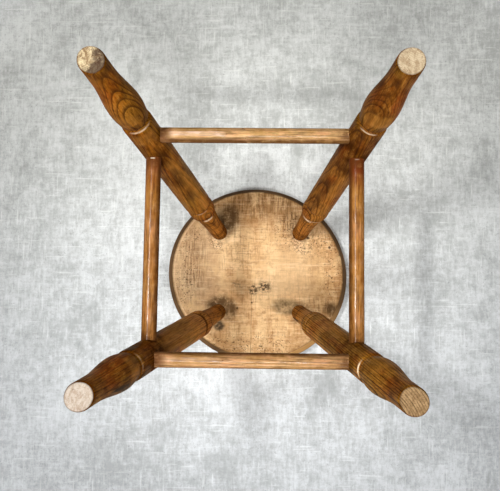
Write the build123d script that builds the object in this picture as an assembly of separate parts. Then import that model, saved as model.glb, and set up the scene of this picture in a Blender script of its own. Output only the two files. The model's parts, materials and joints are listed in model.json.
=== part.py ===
from build123d import *
import os

# A joined round-seat stool: four turned, splayed legs, four round stretchers, one seat board.
#
# Frame: +Z up, origin on the floor under the middle of the four feet, front along -Y, millimetres.
# Every leg is turned about its own axis, which runs from its foot point on the floor to its socket
# point under the seat.  The stretchers run level between leg axes, so each mortise is bored at the
# compound angle that the splay gives it, and the side pair sits higher than the front and back
# pair so that two mortises never meet inside a leg.  The legs' tenons go right through the seat,
# where a wedge driven into a saw kerf spreads each one.

# ---- seat board ---------------------------------------------------------------------------------
seat_height = 505.0             # floor to the top of the seat
seat_thickness = 25.0
seat_long_diameter = 285.0      # the board is cut a little out of round
seat_short_diameter = 275.0
seat_oval_turn = 26.5           # degrees from +X to the long diameter
underside_bevel_width = 6.5     # the bevel that thins the board's lower edge
underside_bevel_height = 9.0
seat_top_round = 7.0

# ---- stance -------------------------------------------------------------------------------------
foot_spread_x = 372.5           # between the foot points of two legs
foot_spread_y = 389.0
socket_spread_x = 130.0         # between the socket points, on the seat's underside
socket_spread_y = 129.0
socket_shift_x = 3.0            # the hand-bored set of sockets sits this far off the seat's centre
socket_shift_y = -3.0

# ---- turned leg: stations run along the leg's axis from the floor ----------------------------------
foot_radius = 17.0
foot_wear = 1.2                 # the worn arris round each foot
foot_straight_end = 36.0
bulb_station = 113.0
bulb_radius = 22.7
bulb_end = 137.0
bulb_end_radius = 20.2
lower_groove_width = 9.0
lower_groove_depth = 3.0
shaft_radius = 21.2             # the shaft that takes the stretchers
shaft_lip_length = 4.0          # the eased arris above the lower groove
shaft_lip_depth = 0.5
shaft_top = 399.0
shaft_top_radius = 20.0
upper_groove_width = 8.0
upper_groove_depth = 1.6
collar_radius = 19.3
collar_length = 20.0
collar_crown = 0.8              # how far the collar swells between its two edges
collar_step_depth = 2.3         # the step down from the collar to the neck
collar_step_length = 3.5
neck_hollow = 1.0               # how far the neck's taper is hollowed, halfway along
neck_end_gap = 7.0              # where the neck meets the tenon, short of the socket point
tenon_radius = 12.5

# ---- stretchers ---------------------------------------------------------------------------------
stretcher_radius = 10.3
front_stretcher_height = 174.0  # the front and back pair
mortise_web = 5.4               # wood left in a leg between its two mortises
mortise_past_axis = 5.0         # each blind mortise stops this far beyond the leg's axis
mortise_end_space = 1.5         # room for glue behind the stretcher's end
stretcher_end_chamfer = 1.2

# ---- joints and cutters -------------------------------------------------------------------------
glue_line = 0.05                # radial room in every bored joint
wedge_thickness = 3.4
wedge_tip_thickness = 0.8
wedge_depth = 19.0
cutter_overrun = 30.0           # how far a cutter or an untrimmed piece runs past what it meets

seat_underside = seat_height - seat_thickness
side_stretcher_height = front_stretcher_height + 2 * stretcher_radius + mortise_web

leg_sides = {
    "leg_front_left": (-1, -1),
    "leg_front_right": (1, -1),
    "leg_back_left": (-1, 1),
    "leg_back_right": (1, 1),
}
stretcher_runs = {
    "stretcher_front": ("leg_front_left", "leg_front_right", front_stretcher_height),
    "stretcher_back": ("leg_back_left", "leg_back_right", front_stretcher_height),
    "stretcher_left": ("leg_front_left", "leg_back_left", side_stretcher_height),
    "stretcher_right": ("leg_front_right", "leg_back_right", side_stretcher_height),
}


def foot_point(leg):
    side_x, side_y = leg_sides[leg]
    return Vector(side_x * foot_spread_x / 2, side_y * foot_spread_y / 2, 0)


def socket_point(leg):
    side_x, side_y = leg_sides[leg]
    x = socket_shift_x + side_x * socket_spread_x / 2
    y = socket_shift_y + side_y * socket_spread_y / 2
    return Vector(x, y, seat_underside)


def leg_direction(leg):
    return (socket_point(leg) - foot_point(leg)).normalized()


def station_at(leg, height):
    """The distance along a leg's axis at which it reaches a height."""
    return height / leg_direction(leg).Z


def axis_point(leg, height):
    return foot_point(leg) + leg_direction(leg) * station_at(leg, height)


def leg_frame(leg):
    """Puts a solid made along +Z from the origin onto a leg's axis, with its X across the grain."""
    return Plane(origin=foot_point(leg), x_dir=(1, 0, 0), z_dir=leg_direction(leg)).location


def waste_above(height):
    """A block over a height, to trim pieces flush with it."""
    side = foot_spread_x + foot_spread_y
    align = (Align.CENTER, Align.CENTER, Align.MIN)
    return Pos(0, 0, height) * Box(side, side, 2 * cutter_overrun, align=align)


def waste_below_floor():
    side = foot_spread_x + foot_spread_y
    align = (Align.CENTER, Align.CENTER, Align.MAX)
    return Box(side, side, 2 * cutter_overrun, align=align)


def turned_leg(leg):
    """The whole turning from below the floor to above the seat, before it is cut and bored."""
    tenon_start = station_at(leg, seat_underside) - neck_end_gap
    tenon_top = station_at(leg, seat_height) + cutter_overrun

    groove_middle = bulb_end + lower_groove_width / 2
    shaft_start = bulb_end + lower_groove_width
    lip_end = shaft_start + shaft_lip_length
    upper_groove_middle = shaft_top + upper_groove_width / 2
    collar_start = shaft_top + upper_groove_width
    collar_end = collar_start + collar_length
    neck_start = collar_end + collar_step_length
    neck_start_radius = collar_radius - collar_step_depth
    neck_middle_radius = (neck_start_radius + tenon_radius) / 2 - neck_hollow

    with BuildPart() as turning:
        with BuildSketch(Plane.XZ):
            with BuildLine():
                Polyline(
                    (0, -cutter_overrun),
                    (foot_radius, -cutter_overrun),
                    (foot_radius, foot_straight_end),
                )
                Spline(
                    (foot_radius, foot_straight_end),
                    (bulb_radius, bulb_station),
                    (bulb_end_radius, bulb_end),
                    tangents=[(0, 1), (bulb_end_radius - bulb_radius, bulb_end - bulb_station)],
                )
                Polyline(
                    (bulb_end_radius, bulb_end),
                    (bulb_end_radius - lower_groove_depth, groove_middle),
                    (shaft_radius - shaft_lip_depth, shaft_start),
                    (shaft_radius, lip_end),
                    (shaft_top_radius, shaft_top),
                    (shaft_top_radius - upper_groove_depth, upper_groove_middle),
                    (collar_radius, collar_start),
                )
                ThreePointArc(
                    (collar_radius, collar_start),
                    (collar_radius + collar_crown, (collar_start + collar_end) / 2),
                    (collar_radius, collar_end),
                )
                Line((collar_radius, collar_end), (neck_start_radius, neck_start))
                ThreePointArc(
                    (neck_start_radius, neck_start),
                    (neck_middle_radius, (neck_start + tenon_start) / 2),
                    (tenon_radius, tenon_start),
                )
                Polyline(
                    (tenon_radius, tenon_start),
                    (tenon_radius, tenon_top),
                    (0, tenon_top),
                    (0, -cutter_overrun),
                )
            make_face()
        revolve(axis=Axis.Z)
    return leg_frame(leg) * turning.part


def wedge_cutter(leg):
    """The tapered kerf across the top of a leg's tenon, wide enough to cross it."""
    top = station_at(leg, seat_height)
    slope = (wedge_thickness - wedge_tip_thickness) / wedge_depth
    overrun_thickness = wedge_thickness + slope * cutter_overrun
    with BuildPart() as wedge:
        with BuildSketch(Plane.YZ):
            with BuildLine():
                Polyline(
                    (-wedge_tip_thickness / 2, top - wedge_depth),
                    (wedge_tip_thickness / 2, top - wedge_depth),
                    (overrun_thickness / 2, top + cutter_overrun),
                    (-overrun_thickness / 2, top + cutter_overrun),
                    close=True,
                )
            make_face()
        extrude(amount=tenon_radius + cutter_overrun, both=True)
    return leg_frame(leg) * wedge.part


def tenon_cylinder(leg, radius):
    start = station_at(leg, seat_underside) - cutter_overrun
    length = station_at(leg, seat_height) + cutter_overrun - start
    return leg_frame(leg) * Pos(0, 0, start) * Cylinder(
        radius, length, align=(Align.CENTER, Align.CENTER, Align.MIN)
    )


def stretcher_rod(run, past_axis, radius):
    """A rod along a stretcher's line that ends the same distance past each leg's axis."""
    first_leg, second_leg, height = stretcher_runs[run]
    first_axis = axis_point(first_leg, height)
    second_axis = axis_point(second_leg, height)
    direction = (second_axis - first_axis).normalized()
    length = (second_axis - first_axis).length + 2 * past_axis
    frame = Plane(origin=first_axis - direction * past_axis, z_dir=direction).location
    return frame * Cylinder(radius, length, align=(Align.CENTER, Align.CENTER, Align.MIN))


def make_leg(leg):
    solid = turned_leg(leg)
    solid -= waste_below_floor()
    solid -= waste_above(seat_height)
    solid -= wedge_cutter(leg)
    for run, ends in stretcher_runs.items():
        if leg in ends:
            solid -= stretcher_rod(run, mortise_past_axis, stretcher_radius + glue_line)
    foot_edge = solid.faces().sort_by(Axis.Z)[0].edges()
    return chamfer(foot_edge, foot_wear)


def make_wedge(leg):
    wedge = wedge_cutter(leg) & tenon_cylinder(leg, tenon_radius)
    return wedge - waste_above(seat_height)


def make_stretcher(run):
    rod = stretcher_rod(run, mortise_past_axis - mortise_end_space, stretcher_radius)
    return chamfer(rod.edges().filter_by(GeomType.CIRCLE), stretcher_end_chamfer)


def make_seat():
    outline = Ellipse(seat_long_diameter / 2, seat_short_diameter / 2, rotation=seat_oval_turn)
    board = extrude(Pos(0, 0, seat_underside) * outline, amount=seat_thickness)
    lower_edge = board.edges().sort_by(Axis.Z)[0]
    side_face = board.faces().sort_by(Axis.Z)[1]
    board = chamfer(lower_edge, underside_bevel_height, underside_bevel_width, reference=side_face)
    upper_edge = board.edges().sort_by(Axis.Z)[-1]
    board = fillet(upper_edge, seat_top_round)
    for leg in leg_sides:
        board -= tenon_cylinder(leg, tenon_radius + glue_line)
    return board


def write_node(name, solid):
    export_step(solid, f"parts/{name}.step")
    print(f"{name}: {solid.volume / 1000:.1f} cm3")


os.makedirs("parts", exist_ok=True)
write_node("seat_board", make_seat())
for leg in leg_sides:
    write_node(leg, make_leg(leg))
    write_node(leg.replace("leg", "tenon_wedge"), make_wedge(leg))
for run in stretcher_runs:
    write_node(run, make_stretcher(run))
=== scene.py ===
# %% [markdown]
# # A round-seat joined stool
# The real stool is country work: a thick round seat, four legs turned on a lathe and set at a
# splay, and four round stretchers in a box. Everything is wood, so this lesson is mostly about two
# things: how a turned shape is made from one template line, and how old varnished wood, raw wood and
# sawn end grain are told apart by nothing but nodes.
#
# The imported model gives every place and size. It is loaded first and never moved.

import json
import math

import bmesh
import bpy
from mathutils import Euler, Matrix, Vector

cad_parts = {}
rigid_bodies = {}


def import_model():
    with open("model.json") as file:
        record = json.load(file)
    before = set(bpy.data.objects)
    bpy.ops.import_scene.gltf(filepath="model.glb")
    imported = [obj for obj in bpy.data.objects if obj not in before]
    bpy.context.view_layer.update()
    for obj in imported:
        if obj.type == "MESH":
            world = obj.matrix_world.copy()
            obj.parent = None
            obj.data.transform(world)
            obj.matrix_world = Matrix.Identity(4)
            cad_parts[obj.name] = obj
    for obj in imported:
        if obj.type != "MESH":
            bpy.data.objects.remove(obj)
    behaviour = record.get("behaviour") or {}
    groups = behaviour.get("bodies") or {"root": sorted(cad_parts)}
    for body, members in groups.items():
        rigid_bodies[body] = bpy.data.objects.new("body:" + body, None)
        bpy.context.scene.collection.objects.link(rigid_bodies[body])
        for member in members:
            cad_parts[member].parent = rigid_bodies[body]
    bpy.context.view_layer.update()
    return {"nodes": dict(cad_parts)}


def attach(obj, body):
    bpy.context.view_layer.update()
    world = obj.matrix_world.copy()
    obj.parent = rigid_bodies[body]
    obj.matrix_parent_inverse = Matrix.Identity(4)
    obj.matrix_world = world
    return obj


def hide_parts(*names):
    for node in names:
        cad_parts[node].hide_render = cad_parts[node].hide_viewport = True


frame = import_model()
nodes = frame["nodes"]
scene = bpy.context.scene
mm = 0.001

# %% [markdown]
# ## Camera
# The stool is looked at from straight underneath, a little off its middle line. The camera could be
# aimed with a Track To constraint, but a plain place and three angles are easier to read and to keep.

# %% Camera
camera = bpy.data.objects.new("camera", bpy.data.cameras.new("camera"))
scene.collection.objects.link(camera)
scene.camera = camera
camera.location = (0.0379, 0.1895, -1.1737)
camera.rotation_euler = [math.radians(a) for a in (-171.877, -1.620, -0.793)]
camera.data.sensor_width = 36.0
camera.data.lens = 75.6
camera.data.clip_start = 0.05
camera.data.clip_end = 30.0
scene.view_settings.view_transform = "Standard"
print("camera", round(camera.data.lens, 1), "mm at", [round(v, 3) for v in camera.location])

# %% [markdown]
# ## Short hands for nodes
# A material or a Geometry Nodes tree is a list of nodes and the wires between them. These helpers add
# nodes to the tree that is being built. A Wire is a node's output, and a sum or a product of wires
# adds the Math node that works it out, so the later cells read like sums. A colour of three numbers
# is one from a paint chart, 0 to 255.

# %% Wires and nodes
tree = None  # the tree that is being built


class Wire:
    """One output of a node."""

    def __init__(self, socket):
        self.socket = socket


def operator(name, swapped):
    return lambda a, b: calc(name, b, a) if swapped else calc(name, a, b)


for sign, name in (("add", "ADD"), ("sub", "SUBTRACT"), ("mul", "MULTIPLY"), ("truediv", "DIVIDE")):
    setattr(Wire, f"__{sign}__", operator(name, False))
    setattr(Wire, f"__r{sign}__", operator(name, True))


class Made:
    """A node that has been added. made[name] is one of its outputs."""

    def __init__(self, node):
        self.node = node

    def __getitem__(self, key):
        return Wire(self.node.outputs[key])


def add(kind, inputs=None, **settings):
    """Adds a node. An input's value is a number, a colour, an object or a wire."""
    made = tree.nodes.new(kind)
    for name, value in settings.items():
        setattr(made, name, value)
    for key, value in (inputs or {}).items():
        if isinstance(value, Wire):
            tree.links.new(value.socket, made.inputs[key])
        else:
            made.inputs[key].default_value = value
    return Made(made)


def new_finish(name):
    """Starts a material. Gives it, and the place on the stool that is being coloured."""
    global tree
    material = bpy.data.materials.new(name)
    material.use_nodes = True
    tree = material.node_tree
    tree.nodes.clear()
    return material, add("ShaderNodeTexCoord")["Object"]


def new_group(kind, name, inputs, outputs, result="Float"):
    """Starts a node group. An input is given by its default, or by the name of its kind."""
    global tree
    tree = bpy.data.node_groups.new(name, kind)
    kinds = {float: "Float", int: "Int", tuple: "Vector"}
    for label, value in inputs.items():
        socket = "NodeSocket" + kinds.get(type(value), value if isinstance(value, str) else "")
        made = tree.interface.new_socket(label, in_out="INPUT", socket_type=socket)
        if not isinstance(value, str):
            made.default_value = value
    for label in outputs:
        tree.interface.new_socket(label, in_out="OUTPUT", socket_type="NodeSocket" + result)
    return add("NodeGroupInput")


def end_group(*results):
    add("NodeGroupOutput", dict(enumerate(results)))
    return tree


def use(group, inputs):
    return add("ShaderNodeGroup", inputs, node_tree=group)


# %% Sums, masks and colours
def calc(operation, *values, clamp=False):
    """One Math node."""
    return add("ShaderNodeMath", dict(enumerate(values)), operation=operation, use_clamp=clamp)[0]


def vcalc(operation, *values):
    """One Vector Math node. Length, distance and dot product give a number, the rest a vector."""
    made = add("ShaderNodeVectorMath", dict(enumerate(values)), operation=operation)
    return made["Value" if operation in ("LENGTH", "DISTANCE", "DOT_PRODUCT") else "Vector"]


def scaled(vector, factor):
    return add("ShaderNodeVectorMath", {0: vector, "Scale": factor}, operation="SCALE")["Vector"]


def vector_of(**axes):
    return add("ShaderNodeCombineXYZ", axes)[0]


def axes_of(vector):
    return add("ShaderNodeSeparateXYZ", {0: vector})


def off_axis(place):
    """How far a place is from the Z axis."""
    return vcalc("LENGTH", vcalc("MULTIPLY", place, (1, 1, 0)))


def outward(place):
    """The direction of a place from the Z axis."""
    return vcalc("NORMALIZE", vcalc("MULTIPLY", place, (1, 1, 0)))


def ramp(value, low, high, to_low=0.0, to_high=1.0):
    """Turns low..high into to_low..to_high along a smooth step."""
    inputs = {"Value": value, "From Min": low, "From Max": high, "To Min": to_low, "To Max": to_high}
    return add("ShaderNodeMapRange", inputs, interpolation_type="SMOOTHSTEP")[0]


def ramp_mm(value, low, high, to_low=0.0, to_high=1.0):
    """A ramp over a length, with low and high in mm."""
    return ramp(value, low * mm, high * mm, to_low, to_high)


def band(value, centre, half, soft):
    """1 where the value is within half of the centre, falling to 0 over soft."""
    return ramp(calc("ABSOLUTE", value - centre), half, half + soft, 1.0, 0.0)


def band_mm(value, centre, half, soft):
    return band(value, centre * mm, half * mm, soft * mm)


def most(first, *others):
    """The largest of several values."""
    for other in others:
        first = calc("MAXIMUM", first, other)
    return first


def least(first, second):
    return calc("MINIMUM", first, second)


def noise(vector, scale, detail=3.0, roughness=0.5, distortion=0.0, by=None, out=0):
    """A Noise Texture. The vector may first be stretched by a factor for each axis."""
    if by:
        vector = vcalc("MULTIPLY", vector, by)
    inputs = {"Scale": scale, "Detail": detail, "Roughness": roughness, "Distortion": distortion}
    return add("ShaderNodeTexNoise", {"Vector": vector, **inputs})[out]


def tone(red, green, blue):
    """A paint-chart colour, 0 to 255, as the light values that a shader wants."""
    def light(v):
        return v / 255 / 12.92 if v <= 10 else ((v / 255 + 0.055) / 1.055) ** 2.4
    return (light(red), light(green), light(blue), 1.0)


def mix(factor, a, b, blend="MIX"):
    """Mixes two colours. Three numbers are a paint-chart colour."""
    a, b = (tone(*c) if isinstance(c, tuple) and len(c) == 3 else c for c in (a, b))
    return add("ShaderNodeMix", {0: factor, 6: a, 7: b}, data_type="RGBA", blend_type=blend)[2]


def coats(colour, *layers):
    """Lays coats over a colour, the lowest first. Each is how much of it there is, and its colour."""
    for amount, paint in layers:
        colour = mix(amount, colour, paint)
    return colour


# %% [markdown]
# ## Stage
# The pale board behind the seat and the floor under the feet are one-sided: each shows only on the
# side that faces the stool, so the stool can be looked at from below and from above. They are seen
# by the camera alone and cast nothing, and they keep the stool's shadow. What the varnish mirrors is
# a pale wall above and behind the stool and a dim room below it, so only its far edges turn pale.


# %% Board, floor and sky
def stage_finish(name, fade, light_pool):
    """Cloudy plaster with crossed trowel marks, flecks, scratches and stains, and a painted pool of light in
    its middle.
    """
    material, place = new_finish(name)
    trowelled = noise(place, 210, 5, 0.7, by=(1, 0.2, 1))
    crossed = noise(place, 150, 5, 0.7, by=(0.25, 1, 1))
    shade = noise(place, 7, 3, 0.55) * 0.2 + noise(place, 46, 9, 0.86, 0.2) * 0.44
    shade = shade + trowelled * 0.22 + crossed * 0.14
    scratch = ramp(noise(place, 330, 2, 0.6, by=(1, 0.05, 1)), 0.64, 0.7, 0, 0.4)
    cross_scratch = ramp(noise(place, 300, 2, 0.6, by=(0.06, 1, 1)), 0.64, 0.7, 0, 0.4)
    colour = coats(
        mix(ramp(shade, 0.41, 0.59), (170, 172, 173), (211, 213, 216)),
        (ramp(noise(place, 300, 5, 0.8), 0.57, 0.66, 0, 0.6), (132, 134, 135)),
        (most(scratch, cross_scratch), (232, 234, 235)),
        (ramp(noise(place, 14, 8, 0.74, 0.2, by=(1, 0.5, 1)), 0.54, 0.7, 0, 0.6), (146, 148, 148)),
    )
    # painted light: the board is brighter near its middle and darker toward its edges
    off_middle = vcalc("DISTANCE", vcalc("MULTIPLY", place, (1, 0.95, 0)), (-0.01, -0.02, 0))
    painted_light_pool = ramp(off_middle, 0.08, 0.52, 1 + 0.28 * light_pool, 1 - 0.3 * light_pool)
    tint = mix(ramp(axes_of(place)["Y"], -0.4, 0.3), (1, 1, 0.945, 1), (0.97, 0.99, 1, 1))
    colour = vcalc("MINIMUM", scaled(mix(1, colour, tint, "MULTIPLY"), painted_light_pool), (0.9, 0.9, 0.9))
    paper = add("ShaderNodeBsdfDiffuse", {"Color": colour})[0]
    clear = add("ShaderNodeBsdfTransparent")[0]
    hide = most(add("ShaderNodeNewGeometry")["Backfacing"], ramp(off_axis(place), *fade))
    shown = add("ShaderNodeMixShader", {0: hide, 1: paper, 2: clear})[0]
    add("ShaderNodeOutputMaterial", {"Surface": shown})
    return material


def stage_sheet(name, height, faces_up, half, fade, light_pool):
    corners = [(-half, -half, height), (half, -half, height), (half, half, height), (-half, half, height)]
    mesh = bpy.data.meshes.new(name)
    mesh.from_pydata(corners, [], [(0, 1, 2, 3) if faces_up else (3, 2, 1, 0)])
    sheet = bpy.data.objects.new(name, mesh)
    scene.collection.objects.link(sheet)
    mesh.materials.append(stage_finish(name, fade, light_pool))
    sheet.visible_shadow = sheet.visible_diffuse = False
    sheet.visible_glossy = sheet.visible_transmission = False


def glow(colour, strength):
    return add("ShaderNodeBackground", {"Color": colour, "Strength": strength})[0]


seat_top_height = 505 * mm
stage_sheet("backdrop board", seat_top_height + 0.6 * mm, False, 0.8, (0.55, 0.75), 1.0)
stage_sheet("floor", -0.4 * mm, True, 2.5, (1.6, 2.4), 0.1)

world = bpy.data.worlds.new("studio")
scene.world = world
world.use_nodes = True
tree = world.node_tree
tree.nodes.clear()
rays = add("ShaderNodeLightPath")
toward_wall = vcalc("DOT_PRODUCT", add("ShaderNodeTexCoord")["Generated"], (0.0, 0.6, 0.8))
around = glow((1.0, 0.99, 0.97, 1.0), 0.13)
mirrored = glow((1.0, 0.88, 0.66, 1.0), ramp(toward_wall, -0.35, 0.7, 0.02, 0.5))
unseen = add("ShaderNodeMixShader", {0: rays["Is Glossy Ray"], 1: around, 2: mirrored})[0]
seen = most(rays["Is Camera Ray"], rays["Is Transmission Ray"])
sky = add("ShaderNodeMixShader", {0: seen, 1: unseen, 2: glow(tone(204, 205, 205), 1.0)})[0]
add("ShaderNodeOutputWorld", {"Surface": sky})
print("stage: board, floor and sky")

# %% [markdown]
# ## Lamps
# A long narrow lamp lies along each pair of rails, far below the stool on the side that the camera
# looks from. A rod mirrors such a lamp as one thin bright line, and the lamp's place across the rod
# says where on the rod that line runs. Broad lamps on both sides and one that leaves no highlight
# fill in the colour, a low one behind edges the legs, and one above lights the seat for every other
# view. A single hard lamp would be simpler, but it would throw black shadows of the rails.


# %% Lamps
def lamp(name, place, aim_height, size, power, colour, shines=True):
    """An oval soft lamp aimed at the stool's middle. One that doesn't shine leaves no highlight."""
    data = bpy.data.lights.new(name, "AREA")
    data.shape = "ELLIPSE"
    data.size, data.size_y = size
    data.energy = power
    data.color = colour
    made = bpy.data.objects.new(name, data)
    made.location = place
    made.rotation_euler = (Vector((0, 0, aim_height)) - Vector(place)).to_track_quat("-Z", "Y").to_euler()
    made.visible_camera = False
    made.visible_glossy = shines
    scene.collection.objects.link(made)


white, nearly_white, warm = (1.0, 1.0, 1.0), (1.0, 0.99, 0.97), (1.0, 0.985, 0.96)
lamp("side rail lamp", (-2.35, -0.45, -5.6), 0.25, (1.3, 0.5), 200.0, nearly_white)
lamp("cross rail lamp", (-0.4, 2.5, -5.6), 0.25, (1.9, 0.42), 165.0, nearly_white)
lamp("left lamp", (-3.6, 2.2, -3.6), 0.25, (2.4, 2.4), 40.0, warm)
lamp("right lamp", (3.4, 2.0, -3.9), 0.25, (2.4, 2.4), 75.0, warm)
lamp("low lamp", (0.0, 4.6, -1.6), 0.25, (3.6, 0.8), 80.0, warm)
lamp("near lamp", (0.5, -0.4, -6.0), 0.3, (3.0, 3.0), 60.0, white, shines=False)
lamp("top lamp", (0.3, -0.5, 2.7), 0.3, (1.6, 1.6), 80.0, white, shines=False)
print("lamps:", len(bpy.data.lights))

# %% [markdown]
# ## Stance
# The same few numbers that the solid model was built from: where each leg stands, where it enters
# the seat, and how high the rails run. A leg's own frame has its Z along the leg, so a distance
# along Z is a station on the turner's stick.

# %% Stance of the legs
seat_thickness = 25 * mm
seat_underside = seat_top_height - seat_thickness
foot_spread = Vector((372.5, 389.0)) * mm
socket_spread = Vector((130.0, 129.0)) * mm
socket_shift = Vector((3.0, -3.0)) * mm
low_rail_height = 174 * mm
high_rail_height = 200 * mm
leg_sides = {
    "leg_front_left": (-1, -1),
    "leg_front_right": (1, -1),
    "leg_back_left": (-1, 1),
    "leg_back_right": (1, 1),
}
rail_runs = {
    "stretcher_front": ("leg_front_left", "leg_front_right", low_rail_height),
    "stretcher_back": ("leg_back_left", "leg_back_right", low_rail_height),
    "stretcher_left": ("leg_front_left", "leg_back_left", high_rail_height),
    "stretcher_right": ("leg_front_right", "leg_back_right", high_rail_height),
}


def foot_point(leg):
    sx, sy = leg_sides[leg]
    return Vector((sx * foot_spread.x / 2, sy * foot_spread.y / 2, 0.0))


def leg_run(leg):
    """The unit vector up the leg's axis."""
    sx, sy = leg_sides[leg]
    x = socket_shift.x + sx * socket_spread.x / 2
    y = socket_shift.y + sy * socket_spread.y / 2
    return (Vector((x, y, seat_underside)) - foot_point(leg)).normalized()


def axis_point(leg, height):
    return foot_point(leg) + leg_run(leg) * (height / leg_run(leg).z)


def frame_on(origin, along, across=Vector((1, 0, 0))):
    """A frame with its Z along the piece and its X as near as can be to across."""
    z = along.normalized()
    x = (across - z * across.dot(z)).normalized()
    turn = Matrix((x, z.cross(x), z)).transposed()
    return Matrix.Translation(origin) @ turn.to_4x4()


def rail_ends(rail):
    first, second, height = rail_runs[rail]
    return axis_point(first, height), axis_point(second, height)


def rail_frame(rail, past=0.0):
    a, b = rail_ends(rail)
    along = (b - a).normalized()
    return frame_on(a - along * past, along, Vector((0, 0, 1)))


def rail_length(rail, past=0.0):
    a, b = rail_ends(rail)
    return (b - a).length + 2 * past


leg_frames = {leg: frame_on(foot_point(leg), leg_run(leg)) for leg in leg_sides}
leg_lengths = {leg: seat_top_height / leg_run(leg).z for leg in leg_sides}
for leg, length in leg_lengths.items():
    splay = math.degrees(leg_run(leg).angle((0, 0, 1)))
    print(leg, "length", round(length / mm, 1), "splay", round(splay, 1))

# %% [markdown]
# ## The turner's template
# A turner works from a stick that shows the outline of one side. Here it is a poly curve: X is the
# radius, Z the station along the piece, and each point's curve radius says how much the wood may
# wander there, none of it inside a joint. A Bezier drawn by hand would do, but points worked out
# from the turning's sizes keep the grooves where the solid model has them. A short moving average
# rounds every arris by about a millimetre, as wear does.

# %% The template of a leg, in mm
foot_radius = 17.0
foot_straight_end = 36.0
bulb_station = 113.0
bulb_radius = 22.7
bulb_slope = -0.036
bulb_end = 137.0
bulb_end_radius = 20.2
bulb_end_slope = -2.5 / 24
lower_groove_end = 146.0
lower_groove_depth = 3.0
shaft_start = 150.0
shaft_radius = 21.2
shaft_lip = 0.5
shaft_top = 399.0
shaft_top_radius = 20.0
upper_groove_end = 407.0
upper_groove_depth = 1.6
collar_radius = 19.3
collar_end = 427.0
collar_crown = 0.8
neck_start = 430.5
neck_start_radius = 17.0
neck_hollow = 1.0
tenon_radius = 12.5
neck_end_gap = 7.0
overrun = 25.0          # how far the turning runs past the floor and the seat before it is trimmed
template_step = 0.5
arris_wear = 0.7        # the stretch that the moving average covers
joint_fade = 10.0       # how far below the tenon the wander dies away


def between(x, x0, x1, y0, y1):
    return y0 + (y1 - y0) * (x - x0) / (x1 - x0)


def sweep(x, x0, x1, y0, y1, slope0, slope1):
    """A smooth bend from (x0, y0) to (x1, y1) that leaves and arrives with the given slopes."""
    h = x1 - x0
    t = (x - x0) / h
    return (
        y0 * (2 * t**3 - 3 * t**2 + 1) + y1 * (3 * t**2 - 2 * t**3)
        + h * slope0 * (t**3 - 2 * t**2 + t) + h * slope1 * (t**3 - t**2)
    )


def bow(x, x0, x1, rise):
    return rise * (1 - ((2 * x - x0 - x1) / (x1 - x0)) ** 2)


def leg_radius(s, tenon_start):
    """The leg's radius at a station."""
    if foot_straight_end <= s < bulb_station:
        return sweep(s, foot_straight_end, bulb_station, foot_radius, bulb_radius, 0, bulb_slope)
    if bulb_station <= s < bulb_end:
        return sweep(s, bulb_station, bulb_end, bulb_radius, bulb_end_radius, bulb_slope, bulb_end_slope)
    corners = [  # station, radius, and how far the run that starts there is crowned
        (-overrun - arris_wear, foot_radius, 0),
        (foot_straight_end, foot_radius, 0),
        (bulb_end, bulb_end_radius, 0),
        ((bulb_end + lower_groove_end) / 2, bulb_end_radius - lower_groove_depth, 0),
        (lower_groove_end, shaft_radius - shaft_lip, 0),
        (shaft_start, shaft_radius, 0),
        (shaft_top, shaft_top_radius, 0),
        ((shaft_top + upper_groove_end) / 2, shaft_top_radius - upper_groove_depth, 0),
        (upper_groove_end, collar_radius, collar_crown),
        (collar_end, collar_radius, 0),
        (neck_start, neck_start_radius, -neck_hollow),
        (tenon_start, tenon_radius, 0),
    ]
    for (s0, r0, crown), (s1, r1, _) in zip(corners, corners[1:]):
        if s < s1:
            return between(s, s0, s1, r0, r1) + bow(s, s0, s1, crown)
    return tenon_radius


def template(name, points):
    """Makes the template line. A point is (radius, station, how far the wood may wander), in mm."""
    curve = bpy.data.curves.new(name, "CURVE")
    curve.dimensions = "3D"
    line = curve.splines.new("POLY")
    line.points.add(len(points) - 1)
    for point, (r, s, wander) in zip(line.points, points):
        point.co = (r * mm, 0.0, s * mm, 1.0)
        point.radius = wander
    made = bpy.data.objects.new(name, curve)
    scene.collection.objects.link(made)
    return made


def leg_template(leg):
    tenon_start = seat_underside / leg_run(leg).z / mm - neck_end_gap
    top = leg_lengths[leg] / mm + overrun
    points = [(0.0, -overrun, 1.0), (foot_radius * 0.5, -overrun, 1.0)]
    s = -overrun
    while s <= top:
        worn = sum(leg_radius(s + arris_wear * k / 2, tenon_start) for k in (-2, -1, 0, 1, 2)) / 5
        points.append((worn, s, min(1.0, max(0.0, (tenon_start - s) / joint_fade))))
        s += template_step
    points += [(tenon_radius * 0.5, top, 0.0), (0.0, top, 0.0)]
    return template("template " + leg, points)


leg_templates = {leg: leg_template(leg) for leg in leg_sides}
print("template points per leg:", [len(t.data.splines[0].points) for t in leg_templates.values()])

# %% [markdown]
# ## The lathe, as a Geometry Nodes tree
# One tree turns every piece of this stool. It bends a flat grid round the template, lets the wood
# wander a little, slides whatever lies past the floor or the seat back along the piece so that the
# ends come out flat, rounds the worn foot, and then bores the joints with a Mesh Boolean. The Screw
# or Spin tool would turn a template too, but not wear it, lean it and cut it in one go.

# %% The lathe tree
crease = math.radians(38)       # edges that bend more than this stay sharp
core_radius = 8 * mm            # the wander dies away inside this, toward the axis


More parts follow.
